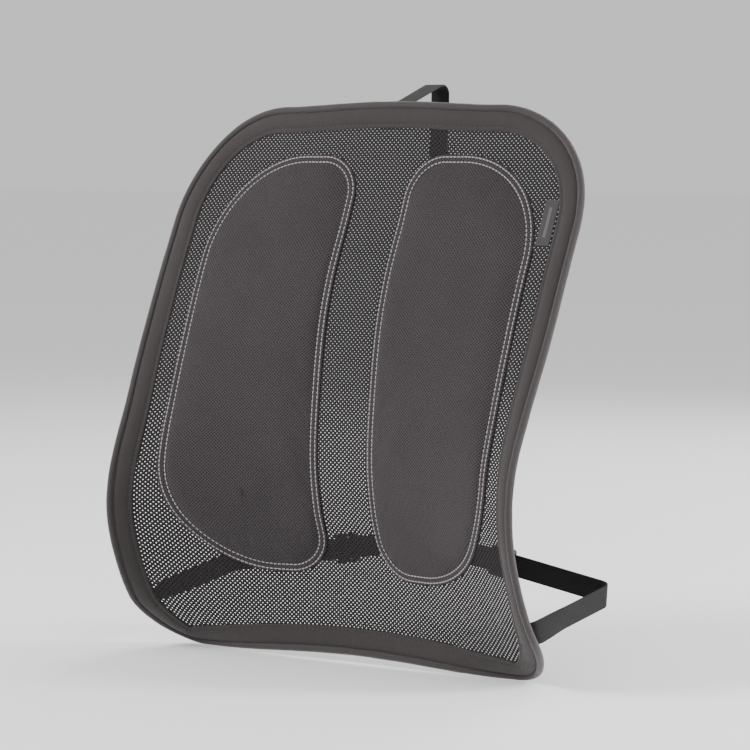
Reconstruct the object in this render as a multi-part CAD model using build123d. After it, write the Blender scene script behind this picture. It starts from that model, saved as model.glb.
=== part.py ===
from build123d import *
import math
import os

os.makedirs("parts", exist_ok=True)

# Lumbar support cushion, in millimetres.
# +Z is up, +Y points back towards the chair and X runs across the cushion.
# The origin is the centre of the cushion's bottom edge, on the symmetry plane.

# --- frame outline, as seen from the front -----------------------------------------
HALF_WIDTH = 226.0        # outside of the edge piping
SIDE_TOP = 507.0          # height of the top edge where it leaves the corners
TOP_RADIUS = 108.0
BOTTOM_RADIUS = 50.0
DOME_RISE = 4.0           # the top edge rises by this much in the middle
DOME_REACH = 118.0
ARCH_RISE = 6.0           # the bottom edge lifts by this much in the middle
ARCH_REACH = 160.0
WAIST_DEPTH = 0.02        # share of the width drawn in at the waist
WAIST_HEIGHT = 210.0
WAIST_SPREAD = 65.0

# --- surface that the mesh is stretched to -------------------------------------------
RAIL_X = 222.0            # where the side rails of the frame run
STATIONS = (4, 20, 50, 98, 140, 185, 240, 304, 352, 406, 450, 507)   # heights
CENTRE_Y = (0, 3, 6, 3, -10, -16, -13, -4, 10, 34, 50, 60)           # depth at x = 0
RAIL_OFFSET = (8, -20, -53, -74, -71, -60, -39, -17, -9, -7, -3, 8)  # rails minus centre
SURFACE_MARGIN = 12.0     # how far the working surface runs past the outline
GRID_COLUMNS = 13
GRID_ROWS = 40
GRID_TOLERANCE = 0.02
COLUMN_REACH = 150.0

# --- edge of the cushion -------------------------------------------------------------
WIRE_RADIUS = 2.25
FERRULE_RADIUS = 2.85
FERRULE_HALF_LENGTH = 16.0
PIPING_RADIUS = 3.6
PIPING_BORE = 2.95
WIRE_GAP = 0.5            # half the gap between the wire's two ends
TUBE_SECTIONS = 44
BAND_OUTER_INSET = 7.6
BAND_INNER_INSET = 22.0
BAND_THICKNESS = 1.6
BAND_STITCH_INSET = 19.5
MESH_INSET = 9.0
MESH_HALF_THICKNESS = 0.6
FIT_GAP = 0.15            # clearance between layers that are sewn together

# --- side pads -----------------------------------------------------------------------
PAD_INNER_X = 32.0        # line midway between the two rows of topstitching
PAD_OUTER_X = 178.0
PAD_BOTTOM_Z = 83.0
PAD_TOP_Z = 457.0
PAD_RADII = (35.0, 96.0, 90.0, 35.0)   # inner bottom, outer bottom, outer top, inner top
FLANGE_GROW = 4.8         # the cover runs this far outside the line
FOAM_GROW = -5.0          # the foam starts this far inside it
COVER_SKIN = 1.0
PAD_HEIGHT = 6.0          # front of the pad in front of the mesh's middle surface
SEAM_GAP = 1.0            # between the start and the end of a row of thread
STITCH_ROW_OFFSET = 2.4
THREAD_SIZE = 0.5
BACKING_GROW = 3.0

# --- label ---------------------------------------------------------------------------
LABEL_X = (183.6, 198.6)
LABEL_Z = (382.0, 422.0)
LABEL_THICKNESS = 0.8

# --- webbing -------------------------------------------------------------------------
WEB_WIDTH = 20.0
WEB_THICKNESS = 1.4
WEB_CLEAR = 0.2           # webbing to the hardware around it
BAR_RADIUS = 2.0
LOOP_RADIUS = BAR_RADIUS + WEB_CLEAR + WEB_THICKNESS / 2
BEND_STEP = 15.0          # degrees between sections on a bend
TAB_LENGTH = 14.0         # sewn end of a strap, behind the band

# --- top strap, over the chair back and down its rear --------------------------------
REAR_Y_AT_TOP = 139.4     # outer layer of webbing, at REAR_TOP_Z
REAR_TOP_Z = 517.0
REAR_LEAN = 2.86          # degrees that the run behind the chair leans back
CREST_RADIUS = 9.0
TOP_CLIMB = 19.5          # degrees above level from the cushion to the crest
TOP_REACH = 65.0
TOP_TAB_RADIUS = 5.0
TOP_TAB_TURN = 60.5
HOUSING_BAR_Z = 262.0
TOP_SLIDER_REACH = 84.0   # slider's middle from the housing's bar

# --- lower straps, round the sides of the chair back ---------------------------------
RING_Z = 101.0
RING_REACH = 18.0         # middle of the ring to the middle of a side bar
RING_HALF_HEIGHT = 16.5
RING_CORNER = 4.0
LOWER_SLOPE = 9.0         # degrees that the lower straps fall towards the frame
LOWER_TOE_IN = 4.1        # degrees that they close on the chair towards its corners
SIDE_X = 213.0
CHAIR_CORNER_RADIUS = 14.0
LOWER_END_Y = -17.0       # where the strap turns in behind the band
TAB_BEND_RADIUS = 4.0
TAB_TURN = 114.0
LOWER_SLIDER_REACH = 72.0  # slider's middle from the ring's bar

# --- strap slider --------------------------------------------------------------------
SLIDER_LENGTH = 24.0
SLIDER_RAIL = 3.6         # width of each side rail
SLIDER_SIDE_GAP = 0.4
SLIDER_END_BAR = 4.0
SLIDER_END_THICKNESS = 2.3
SLIDER_MID_BAR = 5.0
SLIDER_MID_HALF = 1.6
SLIDER_CORNER = 3.0

# --- side release buckle, measured down from the housing's bar -----------------------
HOUSING_WIDTH = 29.0
HOUSING_HALF = 4.4
BODY_START = 6.0
MOUTH = 31.0
CAVITY_WIDTH = 23.0
CAVITY_HALF = 2.3
CAVITY_END = 8.0
WINDOW_LOW = 24.0
WINDOW_HIGH = 13.0
WINDOW_HALF = 2.8
LUG_WIDTH = 3.5         # of the housing
TONGUE_LUG_WIDTH = 2.5
LUG_HALF = 2.6
TONGUE_WIDTH = 26.0
TONGUE_HALF = 3.6
TONGUE_PLATE = 5.0
TONGUE_BAR_DROP = 43.0
GUIDE_HALF_WIDTH = 2.0
GUIDE_TIP = 10.0
GUIDE_HALF = 1.7
ARM_HALF = 1.9
ARM_X = 8.2
ARM_WIDTH = 3.0
ARM_TIP = 12.0
ARM_PIVOT = 33.4
KNUCKLE_RADIUS = 1.7
BUTTON_OUTER_X = 14.0
BUTTON_GAP = 0.3
RUNNING_GAP = 0.1
BUCKLE_CORNER = 2.5
EDGE_ROUND = 1.0


# --- the stretched surface -----------------------------------------------------------

def profile(values, z):
    """Smooth curve through the values at STATIONS, straight beyond both ends."""
    last = len(STATIONS) - 1
    slopes = []
    for i in range(last + 1):
        low = max(i - 1, 0)
        high = min(i + 1, last)
        slopes.append((values[high] - values[low]) / (STATIONS[high] - STATIONS[low]))
    if z <= STATIONS[0]:
        return values[0] + slopes[0] * (z - STATIONS[0])
    if z >= STATIONS[last]:
        return values[last] + slopes[last] * (z - STATIONS[last])
    i = max(k for k in range(last) if STATIONS[k] <= z)
    step = STATIONS[i + 1] - STATIONS[i]
    t = (z - STATIONS[i]) / step
    rise = values[i + 1] - values[i]
    return (
        values[i]
        + rise * t * t * (3 - 2 * t)
        + step * t * (1 - t) * (slopes[i] * (1 - t) - slopes[i + 1] * t)
    )


def surface_y(x, z):
    """Depth of the middle of the mesh: a saddle between the two side rails."""
    return profile(CENTRE_Y, z) + profile(RAIL_OFFSET, z) * (x / RAIL_X) ** 2


def stretched_sheet(offset):
    """The whole surface, moved by `offset` towards the chair."""
    half = HALF_WIDTH + SURFACE_MARGIN
    bottom = -SURFACE_MARGIN
    top = SIDE_TOP + DOME_RISE + SURFACE_MARGIN
    grid = []
    for i in range(GRID_COLUMNS):
        x = half * (2 * i / (GRID_COLUMNS - 1) - 1)
        line = []
        for j in range(GRID_ROWS):
            z = bottom + (top - bottom) * j / (GRID_ROWS - 1)
            line.append(Vector(x, surface_y(x, z) + offset, z))
        grid.append(line)
    return Face.make_surface_from_array_of_points(grid, tol=GRID_TOLERANCE)


def layer(outline, front, back):
    """One layer of the cushion: the surface inside a front-view outline, given thickness."""
    column = extrude(Plane.XZ * make_face(outline), amount=COLUMN_REACH, both=True)
    face = (stretched_sheet(front) & column).faces()[0]
    return extrude(face, amount=back - front, dir=(0, 1, 0)).solid()


# --- outlines ------------------------------------------------------------------------

def bulge(distance, reach):
    """1 at the middle, falling smoothly to 0 at `reach`."""
    return max(0.0, 1 - (distance / reach) ** 2) ** 2


def shape(x, z):
    """Draws in the waist, domes the top edge and arches the bottom edge."""
    height = max(0.0, min(1.0, z / SIDE_TOP))
    waist = WAIST_DEPTH * math.exp(-(((z - WAIST_HEIGHT) / WAIST_SPREAD) ** 2))
    rise = DOME_RISE * bulge(x, DOME_REACH) * height**3
    lift = ARCH_RISE * bulge(x, ARCH_REACH) * (1 - height) ** 3
    return x * (1 - waist), z + rise + lift


def frame_points(inset):
    """Front-view points of the right half, from the bottom middle to the top middle."""
    points = []
    low_x = HALF_WIDTH - BOTTOM_RADIUS
    high_x = HALF_WIDTH - TOP_RADIUS
    high_z = SIDE_TOP - TOP_RADIUS
    for i in range(5):
        points.append((low_x * i / 5, inset))
    for i in range(7):
        turn = math.radians(15 * i)
        radius = BOTTOM_RADIUS - inset
        points.append((low_x + radius * math.sin(turn), BOTTOM_RADIUS - radius * math.cos(turn)))
    for i in range(1, 9):
        points.append((HALF_WIDTH - inset, BOTTOM_RADIUS + (high_z - BOTTOM_RADIUS) * i / 9))
    for i in range(9):
        turn = math.radians(11.25 * i)
        radius = TOP_RADIUS - inset
        points.append((high_x + radius * math.cos(turn), high_z + radius * math.sin(turn)))
    for i in range(1, 5):
        points.append((high_x * (1 - i / 4), SIDE_TOP - inset))
    return [shape(x, z) for x, z in points]


def half_edge(inset):
    """Right half of the frame's outline, drawn in by `inset`."""
    return Spline(frame_points(inset), tangents=[(1, 0), (-1, 0)])


def frame_loop(inset):
    """Closed front-view outline of the frame, drawn in by `inset`."""
    left = Spline([(-x, z) for x, z in frame_points(inset)], tangents=[(-1, 0), (1, 0)])
    return [half_edge(inset), left]


def half_ring(outer_inset, inner_inset):
    """Right half of the ring between two insets."""
    outer = half_edge(outer_inset)
    inner = half_edge(inner_inset)
    return [outer, inner, Line(outer @ 0, inner @ 0), Line(outer @ 1, inner @ 1)]


def pad_path(grow):
    """Front-view path round the right pad, grown by `grow`, open by a seam on its inner edge."""
    left = PAD_INNER_X - grow
    right = PAD_OUTER_X + grow
    low = PAD_BOTTOM_Z - grow
    high = PAD_TOP_Z + grow
    seam = (PAD_BOTTOM_Z + PAD_TOP_Z) / 2
    a, b, c, d = (radius + grow for radius in PAD_RADII)
    return [
        Line((left, seam), (left, low + a)),
        RadiusArc((left, low + a), (left + a, low), -a),
        Line((left + a, low), (right - b, low)),
        RadiusArc((right - b, low), (right, low + b), -b),
        Line((right, low + b), (right, high - c)),
        RadiusArc((right, high - c), (right - c, high), -c),
        Line((right - c, high), (left + d, high)),
        RadiusArc((left + d, high), (left, high - d), -d),
        Line((left, high - d), (left, seam + SEAM_GAP)),
    ]


def pad_loop(grow):
    """Closed front-view outline of the right pad, grown by `grow`."""
    path = pad_path(grow)
    return path + [Line(path[-1] @ 1, path[0] @ 0)]


# --- the frame and its edge ----------------------------------------------------------

def edge_path():
    """Right half of the frame's centreline, from near the bottom middle to the top middle."""
    points = frame_points(PIPING_RADIUS)
    points[0] = (WIRE_GAP, points[0][1])
    middle = [Vector(x, surface_y(x, z), z) for x, z in points]
    return Spline(middle, tangents=[(1, 0, 0), (-1, 0, 0)])


def tube(path, outer, bore=0.0):
    """Round bar or tube along a path, through evenly spaced round sections."""
    def bar(radius):
        discs = []
        for i in range(TUBE_SECTIONS):
            share = i / (TUBE_SECTIONS - 1)
            travel = path % share
            side = Vector(0, 1, 0).cross(travel)
            discs.append(Plane(path @ share, x_dir=side, z_dir=travel) * Circle(radius))
        return loft(discs)
    return (bar(outer) - bar(bore) if bore else bar(outer)).solid()


def both_halves(half):
    """A right half joined to its mirror image."""
    return (half + mirror(half, about=Plane.YZ)).solid()


def frame_wire():
    return both_halves(tube(edge_path(), WIRE_RADIUS))


def frame_ferrule():
    """Crimped sleeve over the wire's two ends."""
    z = frame_points(PIPING_RADIUS)[0][1]
    reach = FERRULE_HALF_LENGTH
    ends = [(-reach, z), (0, z), (reach, z)]
    path = Spline([Vector(x, surface_y(x, z), z) for x, z in ends])
    return tube(path, FERRULE_RADIUS, WIRE_RADIUS + FIT_GAP)


def edge_piping():
    """Fabric sleeve round the wire, in two lengths that meet at the top middle."""
    right = tube(edge_path(), PIPING_RADIUS, PIPING_BORE)
    return Compound([right, mirror(right, about=Plane.YZ)])


def mesh_panel():
    return layer(frame_loop(MESH_INSET), -MESH_HALF_THICKNESS, MESH_HALF_THICKNESS)


def border_band():
    """Front of the fabric band that binds the edge of the mesh."""
    back = -MESH_HALF_THICKNESS - FIT_GAP
    ring = half_ring(BAND_OUTER_INSET, BAND_INNER_INSET)
    return both_halves(layer(ring, back - BAND_THICKNESS, back))


def border_facing():
    """Rear of the band, sewn through the mesh to the front."""
    front = MESH_HALF_THICKNESS + FIT_GAP
    ring = half_ring(BAND_OUTER_INSET, BAND_INNER_INSET)
    return both_halves(layer(ring, front, front + BAND_THICKNESS))


def border_topstitch():
    back = -MESH_HALF_THICKNESS - 2 * FIT_GAP - BAND_THICKNESS
    ring = half_ring(BAND_STITCH_INSET, BAND_STITCH_INSET + THREAD_SIZE)
    return both_halves(layer(ring, back - THREAD_SIZE, back))


# --- the pads ------------------------------------------------------------------------

def pad_cover():
    """Front fabric of the right pad."""
    return layer(pad_loop(FLANGE_GROW), -PAD_HEIGHT, -PAD_HEIGHT + COVER_SKIN)


def pad_foam():
    """Foam between the right cover and the mesh."""
    front = -PAD_HEIGHT + COVER_SKIN + FIT_GAP
    return layer(pad_loop(FOAM_GROW), front, -MESH_HALF_THICKNESS - FIT_GAP)


def pad_backing():
    """Lining behind the mesh, sewn through it to the right cover."""
    front = MESH_HALF_THICKNESS + FIT_GAP
    return layer(pad_loop(BACKING_GROW), front, front + COVER_SKIN)


def pad_topstitch():
    """Two rows of thread round the right pad, lying on its cover."""
    back = -PAD_HEIGHT - FIT_GAP
    rows = []
    for offset in (STITCH_ROW_OFFSET, -STITCH_ROW_OFFSET):
        outer = pad_path(offset + THREAD_SIZE / 2)
        inner = pad_path(offset - THREAD_SIZE / 2)
        starts = Line(outer[0] @ 0, inner[0] @ 0)
        ends = Line(outer[-1] @ 1, inner[-1] @ 1)
        rows.append(layer(outer + inner + [starts, ends], back - THREAD_SIZE, back))
    return Compound(rows)


def side_label():
    x0, x1 = LABEL_X
    z0, z1 = LABEL_Z
    outline = Polyline((x0, z0), (x1, z0), (x1, z1), (x0, z1), close=True)
    back = -MESH_HALF_THICKNESS - FIT_GAP
    return layer(outline, back - LABEL_THICKNESS, back)


# --- webbing -------------------------------------------------------------------------

class Web:
    """Flat webbing laid out step by step, kept as a list of cross-section planes."""

    def __init__(self, point, travel, across):
        self.point = Vector(point)
        self.travel = Vector(travel).normalized()
        self.across = Vector(across).normalized()
        self.sections = []
        self.mark()

    def mark(self):
        self.sections.append(Plane(self.point, x_dir=self.across, z_dir=self.travel))

    def forward(self, length):
        self.point = self.point + self.travel * length
        self.mark()

    def bend(self, degrees, radius, axis):
        """Turns about `axis`, positive by the right-hand rule."""
        axis = Vector(axis).normalized()
        count = max(2, math.ceil(abs(degrees) / BEND_STEP))
        turn = degrees / count
        level = math.sqrt(1 - self.travel.dot(axis) ** 2)
        chord = 2 * radius * math.sin(math.radians(abs(turn)) / 2) / level
        line = Axis(origin=(0, 0, 0), direction=tuple(axis))
        for _ in range(count):
            half = self.travel.rotate(line, turn / 2)
            self.point = self.point + half * chord
            self.travel = self.travel.rotate(line, turn)
            self.across = self.across.rotate(line, turn)
            self.mark()

    def solid(self):
        flats = [plane * Rectangle(WEB_WIDTH, WEB_THICKNESS) for plane in self.sections]
        return loft(flats, ruled=True).solid()


LEAN_SIN = math.sin(math.radians(REAR_LEAN))
LEAN_COS = math.cos(math.radians(REAR_LEAN))
REAR_UP = Vector(0, LEAN_SIN, LEAN_COS)
REAR_OUT = Vector(0, LEAN_COS, -LEAN_SIN)
ACROSS = Vector(1, 0, 0)


def rear_point(z):
    """Point at height z on the line through the hardware's bars, behind the chair."""
    top = Vector(0, REAR_Y_AT_TOP, REAR_TOP_Z) - REAR_OUT * LOOP_RADIUS
    return top - REAR_UP * ((top.Z - z) / REAR_UP.Z)


def rear_plane(z):
    """Working plane behind the chair: y is up along the strap and z points rearward."""
    return Plane(rear_point(z), x_dir=-ACROSS, z_dir=REAR_OUT)


def lower_run():
    """Plane on the ring's right bar: x runs out along the strap and z points rearward."""
    slope = math.radians(LOWER_SLOPE)
    toe = math.radians(LOWER_TOE_IN)
    outward = ACROSS * math.cos(slope) - REAR_UP * math.sin(slope)
    middle = rear_point(RING_Z) + outward * RING_REACH
    travel = outward * math.cos(toe) - REAR_OUT * math.sin(toe)
    face = REAR_OUT * math.cos(toe) + outward * math.sin(toe)
    return Plane(middle, x_dir=travel, z_dir=face)


def lower_strap():
    """Right strap: slider, ring, round the chair back, and a tab behind the band."""
    run = lower_run()
    start = run.origin + run.x_dir * LOWER_SLIDER_REACH - run.z_dir * LOOP_RADIUS
    web = Web(start, -run.x_dir, run.y_dir)
    web.forward(LOWER_SLIDER_REACH)
    web.bend(180, LOOP_RADIUS, run.y_dir)
    web.forward((SIDE_X - CHAIR_CORNER_RADIUS - web.point.X) / web.travel.X)
    to_side = math.degrees(math.atan2(web.travel.X, -web.travel.Y))
    web.bend(-to_side, CHAIR_CORNER_RADIUS, (0, 0, 1))
    web.forward((web.point.Y - LOWER_END_Y) / -web.travel.Y)
    web.bend(-TAB_TURN, TAB_BEND_RADIUS, (0, 0, 1))
    web.forward(TAB_LENGTH)
    return web.solid()


def top_strap():
    """From the slider, round the housing's bar, over the chair and behind the top edge."""
    start = rear_point(HOUSING_BAR_Z) + REAR_UP * TOP_SLIDER_REACH - REAR_OUT * LOOP_RADIUS
    web = Web(start, -REAR_UP, ACROSS)
    web.forward(TOP_SLIDER_REACH)
    web.bend(180, LOOP_RADIUS, ACROSS)
    web.forward((REAR_TOP_Z - web.point.Z) / REAR_UP.Z)
    web.bend(90 + REAR_LEAN + TOP_CLIMB, CREST_RADIUS, ACROSS)
    web.forward(TOP_REACH)
    web.bend(TOP_TAB_TURN, TOP_TAB_RADIUS, ACROSS)
    web.forward(TAB_LENGTH)
    return web.solid()


def buckle_strap():
    """Sewn loop between the ring's top bar and the tongue's bar."""
    low = rear_point(RING_Z) + REAR_UP * RING_HALF_HEIGHT
    high = rear_point(HOUSING_BAR_Z) - REAR_UP * TONGUE_BAR_DROP
    length = (high - low).length
    middle = length / 2
    web = Web(low + REAR_OUT * LOOP_RADIUS + REAR_UP * middle, REAR_UP, ACROSS)
    web.forward(length - middle)
    web.bend(180, LOOP_RADIUS, ACROSS)
    web.forward(length)
    web.bend(180, LOOP_RADIUS, ACROSS)
    web.forward(middle - WEB_CLEAR)
    return web.solid()


# --- moulded hardware ----------------------------------------------------------------

def harness_ring():
    """Ring of round bar with a level top and sides square to the lower straps."""
    slope = math.radians(LOWER_SLOPE)
    reach_x = RING_REACH * math.cos(slope)
    reach_y = -RING_REACH * math.sin(slope)
    top_x = reach_x + math.tan(slope) * (RING_HALF_HEIGHT - reach_y)
    low_x = reach_x + math.tan(slope) * (-RING_HALF_HEIGHT - reach_y)
    corners = [
        (top_x, RING_HALF_HEIGHT),
        (-top_x, RING_HALF_HEIGHT),
        (-low_x, -RING_HALF_HEIGHT),
        (low_x, -RING_HALF_HEIGHT),
    ]
    path = rear_plane(RING_Z) * FilletPolyline(*corners, radius=RING_CORNER, close=True)
    start = Plane(origin=path @ 0, z_dir=path % 0)
    return sweep(start * Circle(BAR_RADIUS), path=path).solid()


def block(x0, x1, y0, y1, z0, z1):
    """Box between two corners."""
    middle = ((x0 + x1) / 2, (y0 + y1) / 2, (z0 + z1) / 2)
    return Pos(*middle) * Box(x1 - x0, y1 - y0, z1 - z0)


def strap_slider():
    """Slider: webbing runs over the middle bar and under the two end bars."""
    inner = WEB_WIDTH / 2 + SLIDER_SIDE_GAP
    outer = inner + SLIDER_RAIL
    half = SLIDER_LENGTH / 2
    low = LOOP_RADIUS + WEB_THICKNESS / 2 + WEB_CLEAR
    top = low + SLIDER_END_THICKNESS
    base = -SLIDER_MID_HALF
    body = block(-outer, outer, -half, half, base, top)
    body = fillet(body.edges().filter_by(Axis.Z), SLIDER_CORNER)
    body = fillet(body.faces().sort_by(Axis.Z)[-1].edges(), EDGE_ROUND)
    body -= block(-inner, inner, -half - 1, half + 1, base - 1, low)
    window = half - SLIDER_END_BAR
    body -= block(-inner, inner, -window, window, base - 1, top + 1)
    mid = SLIDER_MID_BAR / 2
    return (body + block(-inner, inner, -mid, mid, base, SLIDER_MID_HALF)).solid()


def cross_bar(y, half_width):
    """Round bar across the buckle at height y."""
    return Pos(0, y, 0) * Rot(0, 90, 0) * Cylinder(BAR_RADIUS, 2 * half_width)


def buckle_housing():
    """Housing: a flat box open at its mouth, with side windows and a bar for the strap."""
    half = HOUSING_WIDTH / 2
    body = block(-half, half, -MOUTH, -BODY_START, -HOUSING_HALF, HOUSING_HALF)
    body = fillet(body.edges().filter_by(Axis.Z), BUCKLE_CORNER)
    faces = body.faces().sort_by(Axis.Z)
    body = fillet(faces[0].edges() + faces[-1].edges(), EDGE_ROUND)
    room = CAVITY_WIDTH / 2
    body -= block(-room, room, -MOUTH - 1, -CAVITY_END, -CAVITY_HALF, CAVITY_HALF)
    body -= block(-half - 1, half + 1, -WINDOW_LOW, -WINDOW_HIGH, -WINDOW_HALF, WINDOW_HALF)
    lug = half - LUG_WIDTH
    overlap = BODY_START + 1
    for side in (lug, -half):
        body += block(side, side + LUG_WIDTH, -overlap, BAR_RADIUS, -LUG_HALF, LUG_HALF)
    return (body + cross_bar(0, lug + 1)).solid()


def buckle_tongue():
    """Tongue: a plate with a strap bar below it, a guide above, and pockets for the arms."""
    half = TONGUE_WIDTH / 2
    top = -MOUTH - BUTTON_GAP
    low = top - TONGUE_PLATE
    body = block(-half, half, low, top, -TONGUE_HALF, TONGUE_HALF)
    body = fillet(body.edges().filter_by(Axis.X), EDGE_ROUND)
    lug = half - TONGUE_LUG_WIDTH
    end = -TONGUE_BAR_DROP - BAR_RADIUS
    for side in (lug, -half):
        body += block(side, side + TONGUE_LUG_WIDTH, end, low + 1, -LUG_HALF, LUG_HALF)
    body += cross_bar(-TONGUE_BAR_DROP, lug + 1)
    guide = GUIDE_HALF_WIDTH
    body += block(-guide, guide, top - 1, -GUIDE_TIP, -GUIDE_HALF, GUIDE_HALF)
    deep = ARM_HALF + RUNNING_GAP
    swing = ARM_WIDTH / 2 + BUTTON_GAP
    for side in (1, -1):
        seat = Pos(side * ARM_X, -ARM_PIVOT, 0)
        body -= seat * Cylinder(KNUCKLE_RADIUS + RUNNING_GAP, 2 * deep)
        body -= seat * block(-swing, swing, 0, ARM_PIVOT, -deep, deep)
    return body.solid()


def release_arm():
    """Springy arm of the tongue, with the button that latches in the housing's window."""
    inner = ARM_X - ARM_WIDTH / 2
    outer = ARM_X + ARM_WIDTH / 2
    low = -WINDOW_LOW + BUTTON_GAP
    high = -WINDOW_HIGH - BUTTON_GAP
    points = [
        (inner, -ARM_PIVOT),
        (outer, -ARM_PIVOT),
        (outer, low),
        (BUTTON_OUTER_X, low),
        (BUTTON_OUTER_X, high - EDGE_ROUND),
        (outer + EDGE_ROUND, high),
        (outer - EDGE_ROUND, -ARM_TIP),
        (inner, -ARM_TIP),
    ]
    blade = extrude(make_face(Polyline(*points, close=True)), amount=ARM_HALF, both=True)
    knuckle = Pos(ARM_X, -ARM_PIVOT, 0) * Cylinder(KNUCKLE_RADIUS, 2 * ARM_HALF)
    return (blade + knuckle).solid()


# --- the parts, each written to its own file -----------------------------------------

def right_and_left(name, right):
    """A part on the right and its mirror image on the left."""
    return {f"{name}_right": right, f"{name}_left": mirror(right, about=Plane.YZ)}


def build_parts():
    run = lower_run()
    slider = strap_slider()
    top_seat = rear_plane(HOUSING_BAR_Z)
    slider_seat = Plane(top_seat.origin + REAR_UP * TOP_SLIDER_REACH, -ACROSS, REAR_OUT)
    lower_middle = run.origin + run.x_dir * LOWER_SLIDER_REACH
    lower_seat = Plane(lower_middle, x_dir=run.y_dir, z_dir=run.z_dir)
    parts = {
        "frame_wire": frame_wire(),
        "frame_ferrule": frame_ferrule(),
        "edge_piping": edge_piping(),
        "mesh_panel": mesh_panel(),
        "border_band": border_band(),
        "border_facing": border_facing(),
        "border_topstitch": border_topstitch(),
        "side_label": side_label(),
        "top_strap": top_strap(),
        "buckle_strap": buckle_strap(),
        "harness_ring": harness_ring(),
        "buckle_housing": top_seat * buckle_housing(),
        "buckle_tongue": top_seat * buckle_tongue(),
        "top_slider": slider_seat * slider,
    }
    parts |= right_and_left("pad_cover", pad_cover())
    parts |= right_and_left("pad_foam", pad_foam())
    parts |= right_and_left("pad_backing", pad_backing())
    parts |= right_and_left("pad_topstitch", pad_topstitch())
    parts |= right_and_left("lower_strap", lower_strap())
    parts |= right_and_left("lower_slider", lower_seat * slider)
    parts |= right_and_left("release_arm", top_seat * mirror(release_arm(), about=Plane.YZ))
    return parts


for node, shape_of_node in build_parts().items():
    export_step(shape_of_node, f"parts/{node}.step")
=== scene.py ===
import math

import bmesh
import bpy
import numpy as np
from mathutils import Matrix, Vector


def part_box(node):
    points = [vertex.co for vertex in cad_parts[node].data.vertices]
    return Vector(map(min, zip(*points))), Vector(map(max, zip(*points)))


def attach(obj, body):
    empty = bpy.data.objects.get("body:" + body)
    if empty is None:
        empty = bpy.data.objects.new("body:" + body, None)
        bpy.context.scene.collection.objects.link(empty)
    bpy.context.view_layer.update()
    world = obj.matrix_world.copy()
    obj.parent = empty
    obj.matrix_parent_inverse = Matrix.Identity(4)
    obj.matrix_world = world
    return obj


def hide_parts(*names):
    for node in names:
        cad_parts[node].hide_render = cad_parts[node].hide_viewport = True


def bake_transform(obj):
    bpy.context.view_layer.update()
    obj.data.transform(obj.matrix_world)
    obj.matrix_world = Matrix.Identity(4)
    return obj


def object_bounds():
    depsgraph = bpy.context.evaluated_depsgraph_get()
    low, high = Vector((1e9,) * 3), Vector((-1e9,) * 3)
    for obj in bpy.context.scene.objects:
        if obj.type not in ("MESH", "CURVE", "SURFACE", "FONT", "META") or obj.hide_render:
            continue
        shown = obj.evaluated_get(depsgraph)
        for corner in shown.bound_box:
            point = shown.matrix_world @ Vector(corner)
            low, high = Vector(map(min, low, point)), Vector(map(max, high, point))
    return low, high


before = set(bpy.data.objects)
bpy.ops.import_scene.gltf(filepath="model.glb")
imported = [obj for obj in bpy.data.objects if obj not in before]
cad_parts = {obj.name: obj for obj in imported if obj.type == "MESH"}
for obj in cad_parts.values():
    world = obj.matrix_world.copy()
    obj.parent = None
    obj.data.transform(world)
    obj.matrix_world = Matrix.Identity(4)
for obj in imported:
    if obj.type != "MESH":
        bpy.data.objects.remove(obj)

CAD_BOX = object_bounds()
MM = 0.001                 # this script works in millimetres and makes meshes in metres

# --- the outline of the frame and the surface of the mesh, as in the CAD model ---
HALF_WIDTH = 226.0
SIDE_TOP = 507.0
TOP_RADIUS = 108.0
BOTTOM_RADIUS = 50.0
DOME_RISE = 4.0
DOME_REACH = 118.0
ARCH_RISE = 6.0
ARCH_REACH = 160.0
WAIST_DEPTH = 0.02
WAIST_HEIGHT = 210.0
WAIST_SPREAD = 65.0
RAIL_X = 222.0
STATIONS = np.array((4, 20, 50, 98, 140, 185, 240, 304, 352, 406, 450, 507), float)
CENTRE_Y = np.array((0, 3, 6, 3, -10, -16, -13, -4, 10, 34, 50, 60), float)
RAIL_OFFSET = np.array((8, -20, -53, -74, -71, -60, -39, -17, -9, -7, -3, 8), float)
PIPING_INSET = 3.6
ARC_POINTS = 60            # an outline's corner has this many

# --- pads ---
PAD_INNER_X = 32.0
PAD_OUTER_X = 178.0
PAD_BOTTOM_Z = 83.0
PAD_TOP_Z = 457.0
PAD_RADII = (35.0, 96.0, 90.0, 35.0)
FLANGE_GROW = 4.8
PAD_HALF = (PAD_OUTER_X - PAD_INNER_X) / 2 + FLANGE_GROW

# --- webbing and hardware ---
WEB_WIDTH = 20.0
WEB_THICKNESS = 1.4
LOOP_RADIUS = 2.9


# === Geometry in millimetres =====================================

def profile(values, z):
    """Smooth curve through the values at STATIONS, straight beyond both ends."""
    z = np.asarray(z, float)
    count = len(STATIONS)
    low = np.maximum(np.arange(count) - 1, 0)
    high = np.minimum(np.arange(count) + 1, count - 1)
    slopes = (values[high] - values[low]) / (STATIONS[high] - STATIONS[low])
    i = np.clip(np.searchsorted(STATIONS, z, side="right") - 1, 0, count - 2)
    step = STATIONS[i + 1] - STATIONS[i]
    t = np.clip((z - STATIONS[i]) / step, 0, 1)
    rise = values[i + 1] - values[i]
    inside = (values[i] + rise * t * t * (3 - 2 * t)
              + step * t * (1 - t) * (slopes[i] * (1 - t) - slopes[i + 1] * t))
    below = slopes[0] * np.minimum(z - STATIONS[0], 0)
    above = slopes[-1] * np.maximum(z - STATIONS[-1], 0)
    return inside + below + above


def surface_y(x, z):
    return profile(CENTRE_Y, z) + profile(RAIL_OFFSET, z) * (np.asarray(x) / RAIL_X) ** 2


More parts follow.
